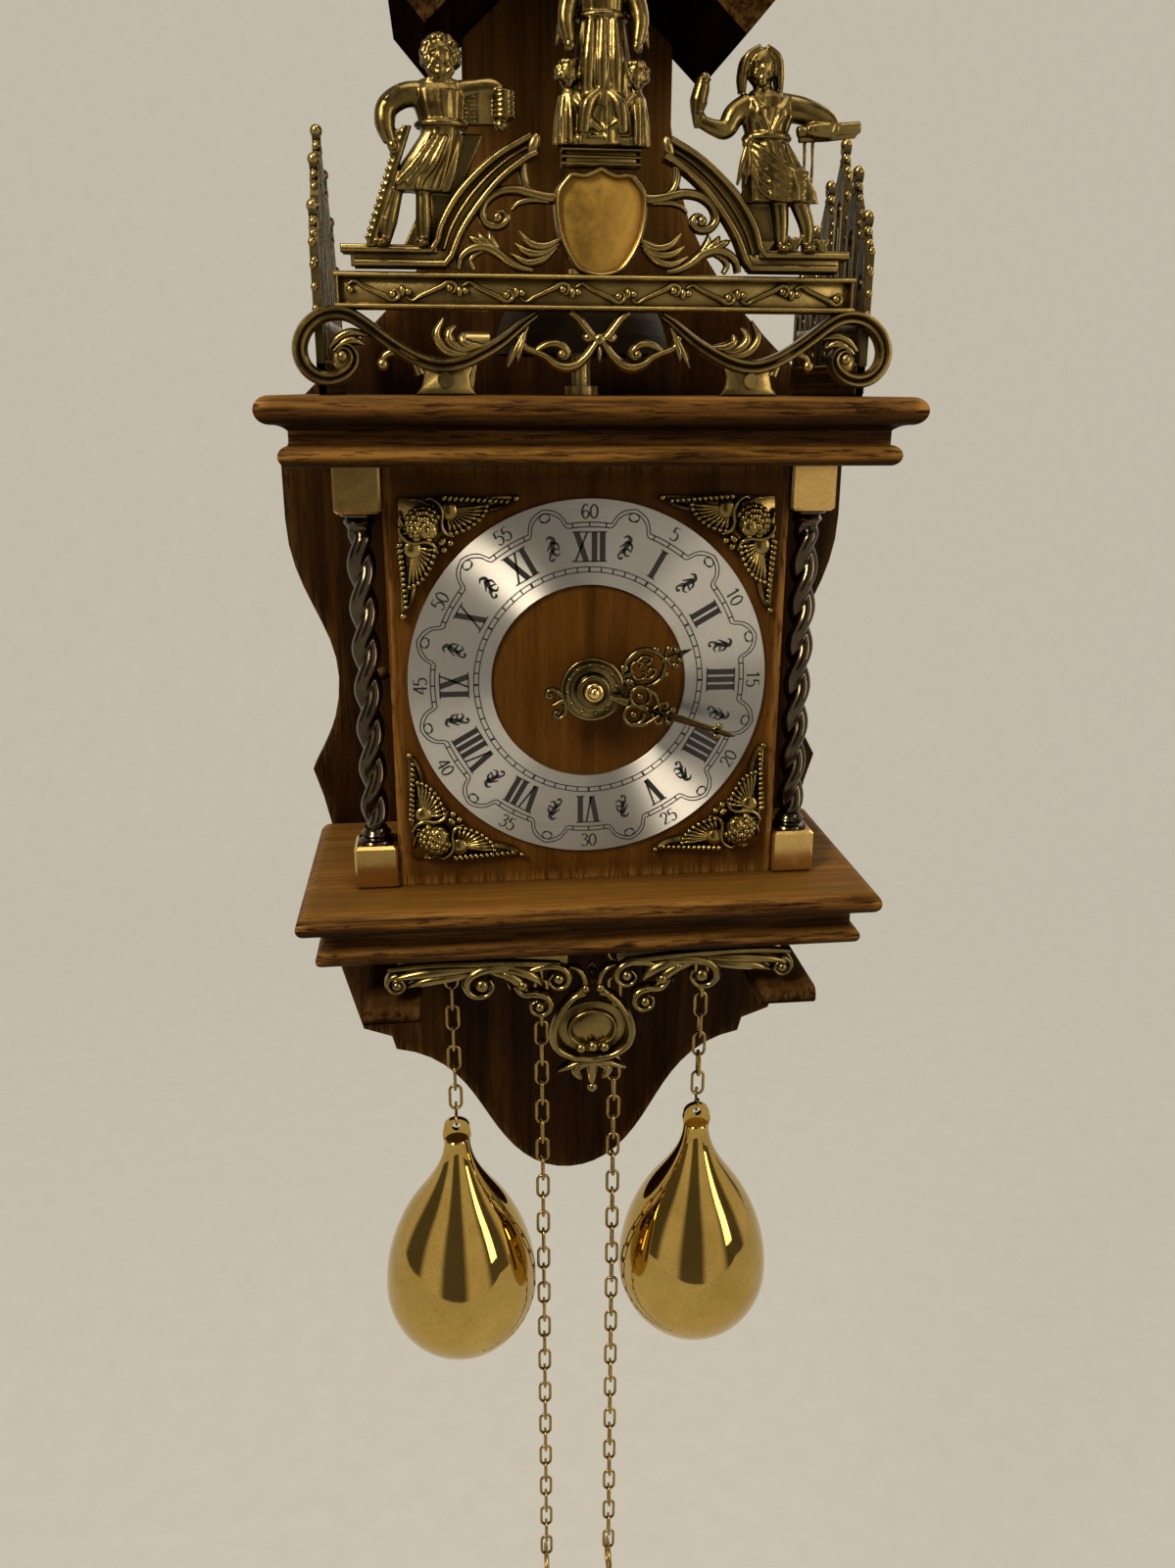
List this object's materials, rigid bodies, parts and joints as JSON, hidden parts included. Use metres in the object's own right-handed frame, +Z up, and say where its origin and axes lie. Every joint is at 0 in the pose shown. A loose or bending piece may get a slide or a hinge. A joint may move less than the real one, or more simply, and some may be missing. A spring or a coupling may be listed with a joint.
{
  "type": "wall_clock",
  "caption": "Zaandam-style wall clock: oak case with twisted columns, cast brass gallery and apron, silvered dial, chain-hung brass pear weights and a pendulum behind the backboard.",
  "frame": {"origin": "the hanging screw's hole in the hanger plate, on the wall plane", "axes": "+Z up, +Y into the wall, +X to the viewer's right"},
  "size_m": [0.217, 0.1369, 0.727],
  "materials": {
    "oak": "waxed oak with dark pores and worn edges",
    "dark_oak": "dark stained oak",
    "cast_brass": "aged cast brass, dark in the hollows and bright on the edges",
    "bright_brass": "polished brass",
    "plate_brass": "brushed brass plate",
    "dark_bronze": "dark patinated bronze, turned",
    "silvered": "silvered brass, grained in circles",
    "steel": "plain steel"
  },
  "bodies": {
    "clock": {"backboard": "oak", "wall_batten": "dark_oak", "hanger_plate": "plate_brass", "wall_feet": "dark_oak", "hood_left": "dark_oak", "hood_right": "dark_oak", "cornice": "oak", "shelf": "oak", "dial_panel": "oak", "front_stiles": "oak", "door_hinge_pins": "bright_brass", "console_left": "dark_oak", "console_right": "dark_oak", "front_fret": "cast_brass", "fret_screws": "cast_brass", "side_fret_left": "cast_brass", "side_fret_right": "cast_brass", "figure_left": "cast_brass", "figure_right": "cast_brass", "figure_center": "cast_brass", "apron": "bright_brass", "spandrels": "bright_brass", "column_left": "dark_bronze", "column_right": "dark_bronze", "column_blocks": "bright_brass", "chapter_ring": "silvered", "front_plate": "plate_brass", "back_plate": "plate_brass", "plate_pillars": "plate_brass", "bell": "dark_bronze", "bell_stand": "plate_brass", "suspension_cock": "plate_brass", "chain_loops": "bright_brass"},
    "left_door": {"door_left": "oak"},
    "right_door": {"door_right": "oak"},
    "minute_group": {"minute_hand": "bright_brass", "cannon_pinion": "plate_brass", "hand_nut": "bright_brass"},
    "hour_group": {"hour_hand": "bright_brass", "hour_wheel": "plate_brass"},
    "minute_wheel_body": {"minute_wheel": "plate_brass"},
    "center_body": {"center_wheel": "plate_brass"},
    "third_body": {"third_wheel": "plate_brass"},
    "escape_body": {"escape_wheel": "plate_brass"},
    "time_great_body": {"time_great_wheel": "plate_brass"},
    "time_drum": {"time_sprocket": "plate_brass"},
    "time_weight_run": {"time_chain": "bright_brass", "time_weight": "bright_brass"},
    "time_pull_run": {"time_pull_chain": "bright_brass"},
    "strike_great_body": {"strike_great_wheel": "plate_brass"},
    "strike_drum": {"strike_sprocket": "plate_brass"},
    "strike_weight_run": {"strike_chain": "bright_brass", "strike_weight": "bright_brass"},
    "strike_pull_run": {"strike_pull_chain": "bright_brass"},
    "pin_body": {"pin_wheel": "plate_brass"},
    "fly_body": {"fly": "steel"},
    "hammer_body": {"hammer": "plate_brass"},
    "pendulum": {"pendulum_rod": "steel", "pendulum_bob": "bright_brass"},
    "anchor_body": {"anchor": "steel"}
  },
  "joints": [
    {"name": "left_door_swing", "type": "hinge", "parent": "clock", "child": "left_door", "pos_m": [-0.0663, -0.039, -0.2], "axis": [0, 0, -1], "range_deg": [0, 88]},
    {"name": "right_door_swing", "type": "hinge", "parent": "clock", "child": "right_door", "pos_m": [0.0663, -0.039, -0.2], "axis": [0, 0, 1], "range_deg": [0, 88]},
    {"name": "minute_turn", "type": "hinge", "parent": "clock", "child": "minute_group", "pos_m": [0, -0.1142, -0.2], "axis": [0, 1, 0], "continuous": true},
    {"name": "hour_turn", "type": "hinge", "parent": "clock", "child": "hour_group", "pos_m": [0, -0.1112, -0.2], "axis": [0, 1, 0], "continuous": true},
    {"name": "minute_wheel_turn", "type": "hinge", "parent": "clock", "child": "minute_wheel_body", "pos_m": [-0.00848, -0.0902, -0.20849], "axis": [0, 1, 0], "continuous": true},
    {"name": "third_turn", "type": "hinge", "parent": "clock", "child": "third_body", "pos_m": [0, -0.0522, -0.184], "axis": [0, 1, 0], "continuous": true},
    {"name": "center_turn", "type": "hinge", "parent": "clock", "child": "center_body", "pos_m": [0, -0.0572, -0.2], "axis": [0, 1, 0], "continuous": true},
    {"name": "escape_turn", "type": "hinge", "parent": "clock", "child": "escape_body", "pos_m": [0, -0.0752, -0.1688], "axis": [0, 1, 0], "continuous": true},
    {"name": "time_great_turn", "type": "hinge", "parent": "clock", "child": "time_great_body", "pos_m": [0.03334, -0.0812, -0.192], "axis": [0, 1, 0], "continuous": true},
    {"name": "time_weight_travel", "type": "slide", "parent": "clock", "child": "time_weight_run", "axis": [0, 0, 1], "range_m": [-0.08, 0.04], "deforming": ["chain_loops"]},
    {"name": "time_pull_travel", "type": "slide", "parent": "clock", "child": "time_pull_run", "axis": [0, 0, 1], "range_m": [-0.04, 0.08]},
    {"name": "time_drum_turn", "type": "hinge", "parent": "clock", "child": "time_drum", "pos_m": [0.03334, -0.0672, -0.192], "axis": [0, 1, 0], "range_deg": [-129, 255]},
    {"name": "strike_weight_travel", "type": "slide", "parent": "clock", "child": "strike_weight_run", "axis": [0, 0, 1], "range_m": [-0.08, 0.04], "deforming": ["chain_loops"]},
    {"name": "strike_pull_travel", "type": "slide", "parent": "clock", "child": "strike_pull_run", "axis": [0, 0, 1], "range_m": [-0.04, 0.08]},
    {"name": "strike_drum_turn", "type": "hinge", "parent": "clock", "child": "strike_drum", "pos_m": [-0.03334, -0.0672, -0.192], "axis": [0, 1, 0], "range_deg": [-255, 129]},
    {"name": "pin_wheel_turn", "type": "hinge", "parent": "clock", "child": "pin_body", "pos_m": [-0.03334, -0.0572, -0.15771], "axis": [0, 1, 0], "continuous": true},
    {"name": "strike_great_turn", "type": "hinge", "parent": "clock", "child": "strike_great_body", "pos_m": [-0.03334, -0.0782, -0.192], "axis": [0, 1, 0], "continuous": true},
    {"name": "fly_turn", "type": "hinge", "parent": "clock", "child": "fly_body", "pos_m": [-0.01981, -0.0522, -0.15279], "axis": [0, 1, 0], "continuous": true},
    {"name": "hammer_swing", "type": "hinge", "parent": "clock", "child": "hammer_body", "pos_m": [-0.044, -0.0742, -0.14], "axis": [0, -1, 0], "range_deg": [0, 14]},
    {"name": "pendulum_swing", "type": "hinge", "parent": "clock", "child": "pendulum", "pos_m": [0, -0.012, -0.1528], "axis": [0, 1, 0], "range_deg": [-4, 4]},
    {"name": "anchor_swing", "type": "hinge", "parent": "clock", "child": "anchor_body", "pos_m": [0, -0.0422, -0.1528], "axis": [0, 1, 0], "range_deg": [-4, 4]}
  ],
  "couplings": [
    {"joint": "hour_turn", "follows": "minute_turn", "ratio": 0.083333},
    {"joint": "minute_wheel_turn", "follows": "minute_turn", "ratio": -0.33333},
    {"joint": "center_turn", "follows": "third_turn", "ratio": -0.11111},
    {"joint": "escape_turn", "follows": "third_turn", "ratio": -9},
    {"joint": "time_great_turn", "follows": "third_turn", "ratio": 0.027778},
    {"joint": "time_pull_travel", "follows": "time_weight_travel", "ratio": -1},
    {"joint": "time_drum_turn", "follows": "time_weight_travel", "rad_per_m": -55.068},
    {"joint": "strike_pull_travel", "follows": "strike_weight_travel", "ratio": -1},
    {"joint": "strike_drum_turn", "follows": "strike_weight_travel", "rad_per_m": 55.068},
    {"joint": "strike_great_turn", "follows": "pin_wheel_turn", "ratio": -0.25},
    {"joint": "fly_turn", "follows": "pin_wheel_turn", "ratio": -8},
    {"joint": "anchor_swing", "follows": "pendulum_swing", "ratio": 1}
  ]
}
